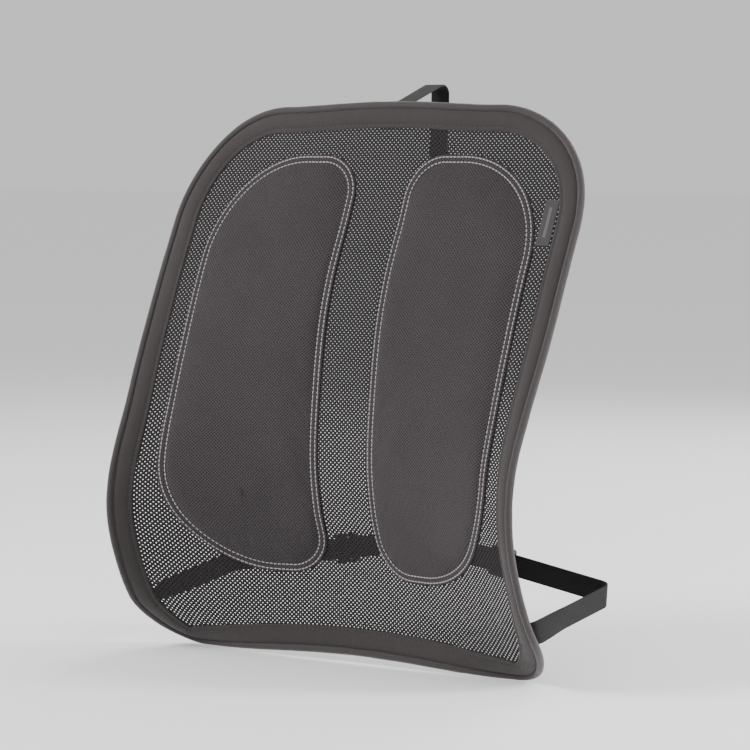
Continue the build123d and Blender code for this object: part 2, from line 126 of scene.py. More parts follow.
def on_surface(x, z, height=0.0):
    """Points `height` in front of the mesh's middle surface, square to it."""
    x = np.asarray(x, float)
    z = np.asarray(z, float)
    nudge = 0.5
    slope_x = (surface_y(x + nudge, z) - surface_y(x - nudge, z)) / (2 * nudge)
    slope_z = (surface_y(x, z + nudge) - surface_y(x, z - nudge)) / (2 * nudge)
    normal = np.stack([slope_x, -np.ones_like(slope_x), slope_z], axis=-1)
    normal /= np.linalg.norm(normal, axis=-1, keepdims=True)
    points = np.stack([x, surface_y(x, z), z], axis=-1)
    return points + normal * np.asarray(height, float)[..., None]


def front_normal(x, z):
    return on_surface(x, z, 1.0) - on_surface(x, z)


def bulge(distance, reach):
    return np.maximum(0.0, 1 - (distance / reach) ** 2) ** 2


def shaped(x, z):
    """Draws in the waist, domes the top edge and arches the bottom edge."""
    height = np.clip(z / SIDE_TOP, 0, 1)
    waist = WAIST_DEPTH * np.exp(-(((z - WAIST_HEIGHT) / WAIST_SPREAD) ** 2))
    rise = DOME_RISE * bulge(x, DOME_REACH) * height**3
    lift = ARCH_RISE * bulge(x, ARCH_REACH) * (1 - height) ** 3
    return x * (1 - waist), z + rise + lift


def resample(points, count):
    """Points spaced evenly along a closed polyline."""
    path = np.vstack([points, points[:1]])
    steps = np.linalg.norm(np.diff(path, axis=0), axis=1)
    along = np.concatenate([[0], np.cumsum(steps)])
    wanted = np.linspace(0, along[-1], count + 1)[:-1]
    return np.stack([np.interp(wanted, along, path[:, k]) for k in range(path.shape[1])], axis=1)


def arc(centre, radius, start, end):
    turn = np.radians(np.linspace(start, end, ARC_POINTS))
    return np.stack([centre[0] + radius * np.cos(turn), centre[1] + radius * np.sin(turn)], axis=1)


def frame_path(count):
    """Evenly spaced points of the wire's centreline, anticlockwise from the bottom middle."""
    low_x = HALF_WIDTH - BOTTOM_RADIUS
    high_x = HALF_WIDTH - TOP_RADIUS
    edge = BOTTOM_RADIUS - PIPING_INSET
    crown = TOP_RADIUS - PIPING_INSET
    line = np.linspace(0, 1, 200)[:, None]
    side = HALF_WIDTH - PIPING_INSET
    pieces = [
        np.hstack([line * low_x, line * 0 + PIPING_INSET]),
        arc((low_x, BOTTOM_RADIUS), edge, -90, 0),
        np.hstack([line * 0 + side, BOTTOM_RADIUS + line * (SIDE_TOP - TOP_RADIUS - BOTTOM_RADIUS)]),
        arc((high_x, SIDE_TOP - TOP_RADIUS), crown, 0, 90),
        np.hstack([high_x * (1 - line), line * 0 + SIDE_TOP - PIPING_INSET]),
    ]
    right = np.vstack(pieces)
    x, z = shaped(right[:, 0], right[:, 1])
    x = np.concatenate([x, -x[::-1]])
    z = np.concatenate([z, z[::-1]])
    points = np.stack([x, surface_y(x, z), z], axis=1)
    keep = np.concatenate([[True], np.linalg.norm(np.diff(points, axis=0), axis=1) > 1e-6])
    return resample(points[keep], count)


def loop_frames(path):
    """Travel, inward and front directions at each point of the closed frame path."""
    travel = np.roll(path, -1, axis=0) - np.roll(path, 1, axis=0)
    travel /= np.linalg.norm(travel, axis=1, keepdims=True)
    front = front_normal(path[:, 0], path[:, 2])
    inward = np.cross(travel, front)
    inward /= np.linalg.norm(inward, axis=1, keepdims=True)
    middle = np.array([0.0, 0.0, SIDE_TOP / 2])
    if np.sum(inward * (middle - path)) < 0:
        inward = -inward
    front = np.cross(inward, travel)
    front *= np.sign(-front[:, 1:2])
    return travel, inward, front


# === Meshes ======================================================

def make_mesh(name, points, faces, uvs=None):
    """A mesh object from points in millimetres; uvs give one (u, v) in millimetres per point."""
    mesh = bpy.data.meshes.new(name)
    mesh.from_pydata((np.asarray(points) * MM).tolist(), [], [list(map(int, f)) for f in faces])
    if uvs is not None:
        layer = mesh.uv_layers.new(name="weave")
        index = np.zeros(len(mesh.loops), dtype=np.int32)
        mesh.loops.foreach_get("vertex_index", index)
        layer.data.foreach_set("uv", (np.asarray(uvs, float)[index] * MM).ravel())
    mesh.validate()
    mesh.update()
    mesh.shade_smooth()
    obj = bpy.data.objects.new(name, mesh)
    bpy.context.scene.collection.objects.link(obj)
    return obj


def weave_grid(along, across):
    """Weave coordinates of a grid of points, from those along it and across it."""
    return np.stack(np.meshgrid(along, across, indexing="ij"), axis=-1).reshape(-1, 2)


def grid_faces(rows, columns, wrap_rows=False, wrap_columns=False, offset=0):
    """Quads of a rows x columns grid of points."""
    i = np.arange(rows if wrap_rows else rows - 1)
    j = np.arange(columns if wrap_columns else columns - 1)
    i, j = np.meshgrid(i, j, indexing="ij")
    k = (i + 1) % rows
    m = (j + 1) % columns
    quads = np.stack([i * columns + j, k * columns + j, k * columns + m, i * columns + m], axis=-1)
    return quads.reshape(-1, 4) + offset


def layered_faces(rings, count):
    """Faces of two layers of rings, the second after the first, joined along the outer ring."""
    size = rings * count
    j = np.arange(count)
    k = (j + 1) % count
    return np.vstack([
        grid_faces(rings, count, False, True),
        grid_faces(rings, count, False, True, offset=size)[:, ::-1],
        np.stack([j, k, k + size, j + size], axis=1),
    ])


def fix_normals(obj):
    """Turns every face outward."""
    bpy.context.view_layer.objects.active = obj
    obj.select_set(True)
    bpy.ops.object.mode_set(mode="EDIT")
    bpy.ops.mesh.select_all(action="SELECT")
    bpy.ops.mesh.normals_make_consistent(inside=False)
    bpy.ops.object.mode_set(mode="OBJECT")
    obj.select_set(False)
    return obj


def noise_1d(count, step, seed):
    """Smooth closed random curve between -1 and 1 with one value every `step` points."""
    random = np.random.default_rng(seed)
    knots = random.uniform(-1, 1, max(4, int(count / step)))
    knots = np.append(knots, knots[0])
    where = np.linspace(0, len(knots) - 1, count)
    i = np.clip(where.astype(int), 0, len(knots) - 2)
    t = where - i
    t = t * t * (3 - 2 * t)
    return knots[i] * (1 - t) + knots[i + 1] * t


PIPING_RADIUS = 3.35
PIPING_UNEVEN = 0.12


def edge_piping():
    """Fabric tube round the wire, with slight unevenness along it."""
    count, sides = 1200, 14
    path = frame_path(count)
    _, inward, front = loop_frames(path)
    radius = PIPING_RADIUS + PIPING_UNEVEN * noise_1d(count, 9, 3)
    turn = 2 * np.pi * np.arange(sides) / sides
    ring = (inward[:, None, :] * np.cos(turn)[None, :, None]
            + front[:, None, :] * np.sin(turn)[None, :, None])
    points = path[:, None, :] + ring * radius[:, None, None]
    along = np.arange(count) * np.linalg.norm(path[1] - path[0])
    uvs = weave_grid(along, turn * PIPING_RADIUS)
    obj = make_mesh("edge_piping_cloth", points.reshape(-1, 3), grid_faces(count, sides, True, True), uvs)
    return fix_normals(obj)


# The band's section, as (inward from the wire, height off the mesh); its groove at 18.3 holds the stitches.
STITCH_GROOVE = 18.3
PUFF_MIDDLE = 11
PUFF_REACH = 5
BAND_SECTION = (
    (3.0, 0.9), (3.9, 1.5), (5.2, 2.15), (7.2, 2.65), (9.6, 2.85), (12.2, 2.75), (14.8, 2.4),
    (16.8, 1.9), (17.7, 1.45), (18.3, 1.2), (18.9, 1.45), (19.8, 1.7), (20.9, 1.55), (21.6, 1.0),
    (21.7, 0.2), (21.6, -0.8), (20.6, -1.5), (18.3, -1.7), (13.0, -2.2), (7.5, -2.3), (4.2, -1.7),
    (3.0, -0.7),
)


def border_band():
    """Band folded over the mesh's edge: puffy between the piping and a sewn row."""
    count = 1400
    path = frame_path(count)
    _, inward, _ = loop_frames(path)
    slow = noise_1d(count, 24, 11)
    fine = noise_1d(count, 5, 12)
    rows = []
    for depth, height in BAND_SECTION:
        flat = path + inward * depth
        puff = math.exp(-(((depth - PUFF_MIDDLE) / PUFF_REACH) ** 2)) * (1 if height > 0 else 0)
        lift = height + puff * (0.22 * slow + 0.12 * fine)
        rows.append(on_surface(flat[:, 0], flat[:, 2], lift))
    points = np.stack(rows, axis=1)
    size = len(BAND_SECTION)
    along = np.arange(count) * np.linalg.norm(path[1] - path[0])
    section = np.array(BAND_SECTION)
    around = np.concatenate([[0], np.cumsum(np.linalg.norm(np.diff(section, axis=0), axis=1))])
    uvs = weave_grid(along, around)
    obj = make_mesh("border_band_cloth", points.reshape(-1, 3), grid_faces(count, size, True, True), uvs)
    return fix_normals(obj)


def inside_frame(x, z, inset):
    """Whether flat points lie inside the frame's outline drawn in by `inset`, before it is shaped."""
    side = HALF_WIDTH - inset - np.abs(x)
    low = z - inset
    high = SIDE_TOP - inset - z
    inside = (side >= 0) & (low >= 0) & (high >= 0)
    for radius, edge in ((BOTTOM_RADIUS - inset, low), (TOP_RADIUS - inset, high)):
        corner = (side < radius) & (edge < radius)
        inside &= ~corner | (np.hypot(radius - side, radius - edge) <= radius)
    return inside


MESH_PITCH_X = 2.28        # half the spacing of the openings across the mesh
MESH_PITCH_Z = 2.07        # and up it
MESH_INSET = 15.0          # the mesh's edge is hidden inside the band
MESH_HALF = 0.45           # half the mesh's thickness at its knots
OPENING_SHARE = 0.30       # how far an opening reaches from its middle towards the knots round it
UNDER_PAD = 1.5            # from here in, a pad's flange hides the mesh
KNOT_STEPS = np.array(((1, 0), (0, 1), (-1, 0), (0, -1)))


def knit_cells():
    """Middles of the mesh's diamond cells in steps of its pitch, and which of them a pad hides."""
    across = int(HALF_WIDTH / MESH_PITCH_X)
    up = int(SIDE_TOP / MESH_PITCH_Z) + 1
    i, j = np.meshgrid(np.arange(-across, across + 1), np.arange(up + 1), indexing="ij")
    keep = ((i + j) % 2 == 0) & inside_frame(i * MESH_PITCH_X, j * MESH_PITCH_Z, MESH_INSET)
    i, j = i[keep], j[keep]
    x, z = shaped(i * MESH_PITCH_X, j * MESH_PITCH_Z)
    covered = (pad_distance(np.abs(x), z) > UNDER_PAD) & pad_holds(np.abs(x), z)
    return np.stack([i, j], axis=1), covered


def cell_ring(corners, rims):
    """Quads between the cells' corners and the openings inside them."""
    after = np.roll(np.arange(4), -1)
    return np.stack([corners, corners[:, after], rims[:, after], rims], axis=-1).reshape(-1, 4)


def mesh_panel():
    """Spacer mesh with real openings: diamond cells that share their knots, each with a hole in it."""
    cells, covered = knit_cells()
    corners = cells[:, None, :] + KNOT_STEPS
    knots, index = np.unique(corners.reshape(-1, 2), axis=0, return_inverse=True)
    index = index.reshape(-1, 4)
    pitch = np.array((MESH_PITCH_X, MESH_PITCH_Z))
    rims = cells[~covered][:, None, :] + KNOT_STEPS * OPENING_SHARE
    flat = np.vstack([knots, rims.reshape(-1, 2), knots]) * pitch
    rim = len(knots) + np.arange(rims.shape[0] * 4).reshape(-1, 4)
    behind = index + len(knots) + rim.size

    edges = np.stack([index, np.roll(index, -1, axis=1)], axis=-1).reshape(-1, 2)
    _, first, uses = np.unique(np.sort(edges, axis=1), axis=0, return_index=True, return_counts=True)
    hem = edges[first[uses == 1]]
    faces = np.vstack([
        index[covered],
        behind[covered][:, ::-1],
        cell_ring(index[~covered], rim),
        cell_ring(behind[~covered], rim)[:, ::-1],
        np.hstack([hem[:, ::-1], hem + len(knots) + rim.size]),
    ])
    height = np.zeros(len(flat))
    height[:len(knots)] = MESH_HALF
    height[-len(knots):] = -MESH_HALF
    x, z = shaped(flat[:, 0], flat[:, 1])
    obj = make_mesh("mesh_panel_cloth", on_surface(x, z, height), faces, flat)
    return fix_normals(obj)


# --- pads ---

def pad_outline(count, grow=FLANGE_GROW):
    """Evenly spaced front-view points round the right pad, grown by `grow`."""
    left, right = PAD_INNER_X - grow, PAD_OUTER_X + grow
    low, high = PAD_BOTTOM_Z - grow, PAD_TOP_Z + grow
    a, b, c, d = (radius + grow for radius in PAD_RADII)
    pieces = [
        arc((left + a, low + a), a, 180, 270),
        arc((right - b, low + b), b, 270, 360),
        arc((right - c, high - c), c, 0, 90),
        arc((left + d, high - d), d, 90, 180),
    ]
    return resample(np.vstack(pieces), count)


SPINE_STEPS = 90           # places along a pad's middle line
MERGE_DISTANCE = 0.02
SEWN_MARGIN = 8.6          # from here in, a pad's cover is free to swell
SWELL_LIMIT = 3.0
CLOTH_STEPS = 20
PAD_PROFILE_AT = (0.0, 0.7, 1.6, 2.4, 3.2, 4.8, 6.4, 7.2, 8.0, 9.4, 12.0, 16.0, 22.0, 32.0, 50.0, 78.0)
PAD_PROFILE = (0.75, 1.55, 1.75, 1.35, 1.75, 1.95, 1.75, 1.35, 1.85, 2.9, 4.2, 5.1, 5.8, 6.3, 6.6, 6.7)
PAD_RINGS = np.array((0.0, 0.35, 0.7, 1.15, 1.6, 2.0, 2.4, 2.8, 3.2, 4.0, 4.8, 5.6, 6.4, 6.8, 7.2, 7.6, 8.0,
                      8.7, 9.4, 10.6, 12.0, 13.8, 16.0, 18.6, 22.0, 26.0, 31.0, 36.5, 42.5, 49.0, 56.0,
                      63.0, 70.0, 77.8))


def pad_grid(count):
    """Outline points of the right pad, and where each one's spoke meets the pad's middle line."""
    outline = pad_outline(count)
    low = PAD_BOTTOM_Z - FLANGE_GROW
    high = PAD_TOP_Z + FLANGE_GROW
    place = np.round((outline[:, 1] - low) / (high - low) * SPINE_STEPS) / SPINE_STEPS
    middle_z = low + PAD_HALF + (high - low - 2 * PAD_HALF) * place
    middle = np.stack([np.full(count, (PAD_INNER_X + PAD_OUTER_X) / 2), middle_z], axis=1)
    return outline, middle


def pad_rings(rings, count, side):
    """Front-view rings of a pad, each at its distance in from the flange's edge."""
    outline, middle = pad_grid(count)
    share = rings[:, None, None] / PAD_HALF
    flat = outline[None] * (1 - share) + middle[None] * share
    return flat[..., 0] * side, flat[..., 1]


def pad_cover(side, label):
    """Padded cover: a sewn flange and a body filled by pressure in a cloth simulation."""
    count = 420
    x, z = pad_rings(PAD_RINGS, count, side)
    height = np.interp(PAD_RINGS, PAD_PROFILE_AT, PAD_PROFILE)
    front = on_surface(x, z, np.repeat(height[:, None], count, axis=1))
    rear = on_surface(x, z, 0.62)
    points = np.vstack([front.reshape(-1, 3), rear.reshape(-1, 3)])
    flat = np.stack([x, z], axis=-1).reshape(-1, 2)
    faces = layered_faces(len(PAD_RINGS), count)
    obj = make_mesh(f"pad_cover_cloth_{label}", points, faces, np.vstack([flat, flat]))
    merge_close(obj, MERGE_DISTANCE * MM)
    fix_normals(obj)
    inflate(obj, SEWN_MARGIN, SWELL_LIMIT)
    return obj


def merge_close(obj, distance):
    """Merges points that are within `distance` of each other, in metres."""
    bm = bmesh.new()
    bm.from_mesh(obj.data)
    bmesh.ops.remove_doubles(bm, verts=bm.verts, dist=distance)
    bm.to_mesh(obj.data)
    bm.free()
    obj.data.update()


def pad_holds(x, z):
    """Whether front-view points are inside the pad's flange."""
    left, right = PAD_INNER_X - FLANGE_GROW, PAD_OUTER_X + FLANGE_GROW
    low, high = PAD_BOTTOM_Z - FLANGE_GROW, PAD_TOP_Z + FLANGE_GROW
    inside = (x > left) & (x < right) & (z > low) & (z < high)
    corners = ((x - left, z - low), (right - x, z - low), (right - x, high - z), (x - left, high - z))
    for radius, (beside, beyond) in zip(PAD_RADII, corners):
        size = radius + FLANGE_GROW
        rounded = (beside < size) & (beyond < size)
        inside &= ~rounded | (np.hypot(size - beside, size - beyond) < size)
    return inside


def pad_distance(x, z):
    """Distance in from the edge of the pad's flange, in front view."""
    outline = pad_outline(600)
    best = np.full(len(x), 1e9)
    for start in range(0, len(x), 4000):
        part = slice(start, start + 4000)
        dx = x[part, None] - outline[None, :, 0]
        dz = z[part, None] - outline[None, :, 1]
        best[part] = np.sqrt((dx * dx + dz * dz).min(axis=1))
    return best


def inflate(obj, margin, cap):
    """Fills a closed cover with pressure. The sewn flange and the rear stay where they are."""
    mesh = obj.data
    count = len(mesh.vertices)
    rest = np.zeros(count * 3)
    mesh.vertices.foreach_get("co", rest)
    rest = rest.reshape(-1, 3) / MM
    inside = pad_distance(np.abs(rest[:, 0]), rest[:, 2])
    height = (surface_y(rest[:, 0], rest[:, 2]) - rest[:, 1])
    free = (inside > margin) & (height > 1.0)
    group = obj.vertex_groups.new(name="sewn")
    group.add(np.nonzero(~free)[0].tolist(), 1.0, "REPLACE")
    cloth = obj.modifiers.new("Cloth", "CLOTH")
    settings = cloth.settings
    settings.use_pressure = True
    settings.uniform_pressure_force = 4.0
    settings.quality = 5
    settings.mass = 0.25
    settings.tension_stiffness = 18
    settings.compression_stiffness = 12
    settings.shear_stiffness = 8
    settings.bending_stiffness = 0.6
    settings.effector_weights.gravity = 0.0
    settings.vertex_group_mass = "sewn"
    cloth.collision_settings.use_collision = False
    cloth.point_cache.frame_start = 1
    cloth.point_cache.frame_end = CLOTH_STEPS
    scene = bpy.context.scene
    for step in range(1, CLOTH_STEPS + 1):
        scene.frame_set(step)
    graph = bpy.context.evaluated_depsgraph_get()
    moved = np.zeros(count * 3)
    obj.evaluated_get(graph).data.vertices.foreach_get("co", moved)
    obj.modifiers.remove(cloth)
    obj.vertex_groups.remove(group)
    scene.frame_set(1)
    shift = moved.reshape(-1, 3) / MM - rest
    length = np.linalg.norm(shift, axis=1, keepdims=True)
    shift *= cap * np.tanh(length / cap) / np.maximum(length, 1e-9)
    mesh.vertices.foreach_set("co", ((rest + shift) * MM).ravel())
    mesh.update()


BACKING_RINGS = np.array((0.0, 0.5, 1.2, 2.4, 4.8, 7.2, 9.0, 14.0, 24.0, 40.0, 60.0, 77.8))
BACKING_PROFILE_AT = (0.0, 0.5, 1.2, 2.4, 4.8, 7.2, 9.0, 14.0, 40.0)
BACKING_PROFILE = (0.7, 1.4, 1.7, 1.35, 1.7, 1.35, 1.6, 2.0, 2.2)


def pad_backing(side, label):
    """Lining behind the mesh, with a folded edge."""
    count = 360
    x, z = pad_rings(BACKING_RINGS, count, side)
    height = -np.interp(BACKING_RINGS, BACKING_PROFILE_AT, BACKING_PROFILE)
    rear = on_surface(x, z, np.repeat(height[:, None], count, axis=1))
    front = on_surface(x, z, -0.6)
    points = np.vstack([rear.reshape(-1, 3), front.reshape(-1, 3)])
    flat = np.stack([x, z], axis=-1).reshape(-1, 2)
    faces = layered_faces(len(BACKING_RINGS), count)
    obj = make_mesh(f"pad_backing_cloth_{label}", points, faces, np.vstack([flat, flat]))
    merge_close(obj, MERGE_DISTANCE * MM)
    return fix_normals(obj)


# --- thread ---

def stitch_template(length, width, height):
    """Points and faces of one stitch: a rounded, slightly arched grain of thread."""
    around, along = 8, 6
    rows = []
    for i in range(along):
        t = -1 + 2 * i / (along - 1)
        size = math.sqrt(max(0.0, 1 - t**4)) * 0.92 + 0.08
        turn = 2 * np.pi * np.arange(around) / around
        rise = height * 0.35 * (1 - t * t)
        rows.append(np.stack([
            np.full(around, t * length / 2),
            np.cos(turn) * width / 2 * size,
            np.sin(turn) * height / 2 * size + rise,
        ], axis=1))
    points = np.vstack(rows)
    faces = grid_faces(along, around, False, True).tolist()
    faces.append(list(range(around))[::-1])
    faces.append([(along - 1) * around + k for k in range(around)])
    return points, faces


def stitch_row(name, spots, travel, up, length=3.1, width=0.95, height=0.75):
    """A row of stitches at `spots`, each lying along `travel` with its top towards `up`."""
    template, faces = stitch_template(length, width, height)
    side = np.cross(up, travel)
    side /= np.linalg.norm(side, axis=1, keepdims=True)
    points = (spots[:, None, :]
              + template[None, :, 0:1] * travel[:, None, :]
              + template[None, :, 1:2] * side[:, None, :]
              + template[None, :, 2:3] * up[:, None, :]).reshape(-1, 3)
    size = len(template)
    everything = [[k + size * n for k in face] for n in range(len(spots)) for face in faces]
    turns = np.arctan2(template[:, 2], template[:, 1])
    uvs = np.tile(np.stack([template[:, 0], turns], axis=1), (len(spots), 1))
    return make_mesh(name, points, everything, uvs)


def surface_row(flat, height):
    """Spots and directions for stitches along a closed front-view path, at a height off the mesh."""
    spots = on_surface(flat[:, 0], flat[:, 1], height)
    travel = np.roll(spots, -1, axis=0) - np.roll(spots, 1, axis=0)
    travel /= np.linalg.norm(travel, axis=1, keepdims=True)
    up = front_normal(flat[:, 0], flat[:, 1])
    if height < 0:
        up = -up
    return spots, travel, up


def join(name, objects):
    """Joins several meshes into one piece."""
    first = objects[0]
    bpy.ops.object.select_all(action="DESELECT")
    for obj in objects:
        obj.select_set(True)
    bpy.context.view_layer.objects.active = first
    bpy.ops.object.join()
    first.name = name
    first.data.name = name
    first.select_set(False)
    return first


STITCH_PITCH = 4.0
BAND_ROW_LENGTH = 1640.0   # of the band's stitched row, nearly
PAD_ROW_OFFSET = 2.4       # each of a pad's two rows lies this far from its outline


def pad_topstitch(side, label):
    """Two rows of light thread round a pad."""
    rows = []
    for grow in (PAD_ROW_OFFSET, -PAD_ROW_OFFSET):
        outline = pad_outline(600, grow)
        length = np.linalg.norm(np.roll(outline, -1, axis=0) - outline, axis=1).sum()
        flat = pad_outline(int(length / STITCH_PITCH), grow)
        flat = flat * np.array([side, 1.0])
        rows.append(stitch_row("row", *surface_row(flat, 1.5), length=3.8, width=1.25, height=0.9))
        rows.append(stitch_row("row", *surface_row(flat, -1.45)))
    return join(f"pad_topstitch_thread_{label}", rows)


def border_topstitch():
    """One row of dark thread near the band's inner edge, seen from both sides."""
    path = frame_path(int(BAND_ROW_LENGTH / STITCH_PITCH))
    _, inward, _ = loop_frames(path)
    flat = path + inward * STITCH_GROOVE
    rows = []
    for height in (1.35, -1.8):
        rows.append(stitch_row("row", *surface_row(flat[:, [0, 2]], height), width=0.8, height=0.6))
    return join("border_topstitch_thread", rows)


# --- label ---

def side_label():
    """Small woven tab with rounded-over edges and a shallow groove round its border."""
    low, high = (np.array(corner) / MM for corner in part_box("side_label"))
    rows, columns = 41, 21
    v, u = np.meshgrid(np.linspace(0, 1, rows), np.linspace(0, 1, columns), indexing="ij")
    x = low[0] + (high[0] - low[0]) * u
    z = low[2] + (high[2] - low[2]) * v
    edge = np.minimum(np.minimum(u, 1 - u) * (high[0] - low[0]), np.minimum(v, 1 - v) * (high[2] - low[2]))
    height = 0.7 + 0.75 * np.clip(edge / 0.6, 0, 1) ** 0.5 - 0.18 * np.exp(-(((edge - 1.7) / 0.45) ** 2))
    front = on_surface(x, z, height).reshape(-1, 3)
    rear = on_surface(x, z, 0.6).reshape(-1, 3)
    size = rows * columns
    edge_loop = np.concatenate([
        np.arange(columns - 1),
        np.arange(rows - 1) * columns + columns - 1,
        size - 1 - np.arange(columns - 1),
        (rows - 1 - np.arange(rows - 1)) * columns,
    ])
    after = np.roll(edge_loop, -1)
    faces = np.vstack([
        grid_faces(rows, columns),
        grid_faces(rows, columns, offset=size)[:, ::-1],
        np.stack([edge_loop, after, after + size, edge_loop + size], axis=1),
    ])
    local = np.stack([(u - 0.5) * (high[0] - low[0]), (v - 0.5) * (high[2] - low[2])], axis=-1).reshape(-1, 2)
    obj = make_mesh("side_label_cloth", np.vstack([front, rear]), faces, np.vstack([local, local]))
    return fix_normals(obj)


# === Webbing =====================================================

def unit(vector):
    vector = np.asarray(vector, float)
    return vector / np.linalg.norm(vector)


def rotate(vector, axis, degrees):
    axis = unit(axis)
    turn = math.radians(degrees)
    return (vector * math.cos(turn) + np.cross(axis, vector) * math.sin(turn)
            + axis * np.dot(axis, vector) * (1 - math.cos(turn)))


class Web:
    """Webbing laid out step by step: points, travel directions and directions across."""

    STEP = 2.0                 # between cross-sections on a straight
    TURN = 6.0                 # degrees between them on a bend

    def __init__(self, point, travel, across):
        self.point = np.array(point, float)
        self.travel = unit(travel)
        self.across = unit(across)
        self.rows = [(self.point, self.travel, self.across)]

    def mark(self):
        self.rows.append((self.point, self.travel, self.across))

    def forward(self, length):
        count = max(1, round(length / self.STEP))
        for _ in range(count):
            self.point = self.point + self.travel * length / count
            self.mark()

    def bend(self, degrees, radius, axis):
        count = max(2, math.ceil(abs(degrees) / self.TURN))
        turn = degrees / count
        axis = unit(axis)
        level = math.sqrt(1 - np.dot(self.travel, axis) ** 2)
        chord = 2 * radius * math.sin(math.radians(abs(turn)) / 2) / level
        for _ in range(count):
            self.point = self.point + rotate(self.travel, axis, turn / 2) * chord
            self.travel = rotate(self.travel, axis, turn)
            self.across = rotate(self.across, axis, turn)
            self.mark()

    def twist(self, degrees, length, toward):
        """Runs on while the strap turns about its own travel, drifting to end at `toward`."""
        count = max(4, round(length / self.STEP))
        start = self.point.copy()
        for i in range(count):
            self.point = self.point + self.travel * length / count
            self.across = rotate(self.across, self.travel, degrees / count)
            t = (i + 1) / count
            ease = t * t * (3 - 2 * t)
            drift = (toward - start - self.travel * length) * ease
            self.rows.append((self.point + drift, self.travel, self.across))
        self.point = toward

    def piece(self, name):
        return ribbon(name, self.rows, WEB_THICKNESS, WEB_WIDTH)


# Cross-section of webbing: a shallow groove sets off each bound edge.
SECTION_ACROSS = np.array((-1.0, -0.985, -0.93, -0.88, -0.8, -0.4, 0.0, 0.4, 0.8, 0.88, 0.93, 0.985))
SECTION_HEIGHT = np.array((0.0, 0.75, 1.0, 0.9, 1.0, 1.0, 1.0, 1.0, 1.0, 0.9, 1.0, 0.75))


def ribbon(name, rows, thickness, width):
    """A strap with thickness through a list of (point, travel, across)."""
    points = np.array([row[0] for row in rows])
    travel = np.array([row[1] for row in rows])
    across = np.array([row[2] for row in rows])
    out = np.cross(travel, across)
    out /= np.linalg.norm(out, axis=1, keepdims=True)
    place = np.concatenate([SECTION_ACROSS, [1.0], SECTION_ACROSS[:0:-1]])
    height = np.concatenate([SECTION_HEIGHT, [0.0], -SECTION_HEIGHT[:0:-1]])
    ring = (points[:, None, :] + across[:, None, :] * (place * width / 2)[None, :, None]
            + out[:, None, :] * (height * thickness / 2)[None, :, None])
    count, size = ring.shape[:2]
    faces = grid_faces(count, size, False, True).tolist()
    faces.append(list(range(size))[::-1])
    faces.append([(count - 1) * size + k for k in range(size)])
    steps = np.linalg.norm(np.diff(points, axis=0), axis=1)
    along = np.concatenate([[0], np.cumsum(steps)])
    uvs = weave_grid(along, place * width / 2)
    obj = make_mesh(name, ring.reshape(-1, 3), faces, uvs)
    return fix_normals(obj)


REAR_LEAN = math.radians(2.86)
LEAN_SIN = math.sin(REAR_LEAN)
LEAN_COS = math.cos(REAR_LEAN)
REAR_UP = np.array((0.0, LEAN_SIN, LEAN_COS))
REAR_OUT = np.array((0.0, LEAN_COS, -LEAN_SIN))
ACROSS = np.array((1.0, 0.0, 0.0))
REAR_Y_AT_TOP = 139.4
REAR_TOP_Z = 517.0
HOUSING_BAR_Z = 262.0
TONGUE_BAR_DROP = 43.0
TOP_SLIDER_REACH = 84.0
RING_Z = 101.0
RING_REACH = 18.0
RING_HALF_HEIGHT = 16.5
LOWER_SLOPE = 9.0
LOWER_TOE_IN = 4.1
SIDE_X = 213.0
CHAIR_CORNER_RADIUS = 14.0
LOWER_SLIDER_REACH = 72.0
TWIST_START_Y = 22.0       # where a lower strap starts to turn towards the band
TWIST_LENGTH = 44.0
TWIST_DEGREES = 22.0
SEWN_X = 214.0


def rear_point(z):
    """Middle of the harness at height z, behind the chair's back."""
    top = np.array((0.0, REAR_Y_AT_TOP, REAR_TOP_Z)) - REAR_OUT * LOOP_RADIUS
    return top - REAR_UP * ((top[2] - z) / REAR_UP[2])


TACK_PITCH = 2.3
TACK_LIFT = 0.85           # a tack's height off the middle of the webbing it is sewn through


def tack(name, middle, travel, across, up, length, width):
    """A bar-tack: a box of close stitches with a cross in it."""
    spots, ways = [], []
    corners = [(length / 2 * a, width / 2 * b) for a, b in ((-1, -1), (1, -1), (1, 1), (-1, 1))]
    lines = [(corners[k], corners[(k + 1) % 4]) for k in range(4)]
    lines += [(corners[0], corners[2]), (corners[1], corners[3])]
    for start, end in lines:
        start, end = np.array(start), np.array(end)
        count = max(2, int(np.linalg.norm(end - start) / TACK_PITCH))
        for i in range(count):
            t = (i + 0.5) / count
            along, side = start + (end - start) * t
            spots.append(middle + travel * along + across * side)
            ways.append(unit(travel * (end - start)[0] + across * (end - start)[1]))
    spots, ways = np.array(spots), np.array(ways)
    ups = np.repeat(up[None], len(spots), axis=0)
    return stitch_row(name, spots, ways, ups, length=1.9, width=0.6, height=0.5)


def top_strap():
    """From the housing's bar up the chair's rear, over its top and down behind the top edge."""
    start = rear_point(HOUSING_BAR_Z) - REAR_OUT * LOOP_RADIUS + REAR_UP * 3
    web = Web(start, -REAR_UP, ACROSS)
    web.forward(3.0)
    web.bend(180, LOOP_RADIUS, ACROSS)
    web.forward((REAR_TOP_Z - web.point[2]) / REAR_UP[2])
    web.bend(112.36, 9.0, ACROSS)
    web.forward(65.0)
    web.bend(60.5, 5.0, ACROSS)
    web.forward(15.0)
    strap = web.piece("top_strap_webbing")
    rear = np.array((0.0, 1.0, 0.0))
    spot = web.point - web.travel * 7.5 + rear * TACK_LIFT
    return strap, tack("tack", spot, web.travel, ACROSS, rear, 11, 15)


def top_return():
    """Layer of the top strap on the chair's side, from the housing's bar to the slider."""
    start = rear_point(HOUSING_BAR_Z) - REAR_OUT * LOOP_RADIUS + REAR_UP * 2.5
    web = Web(start, REAR_UP, ACROSS)
    web.forward(TOP_SLIDER_REACH - 6)
    return web.piece("top_strap_return"), start, web.point


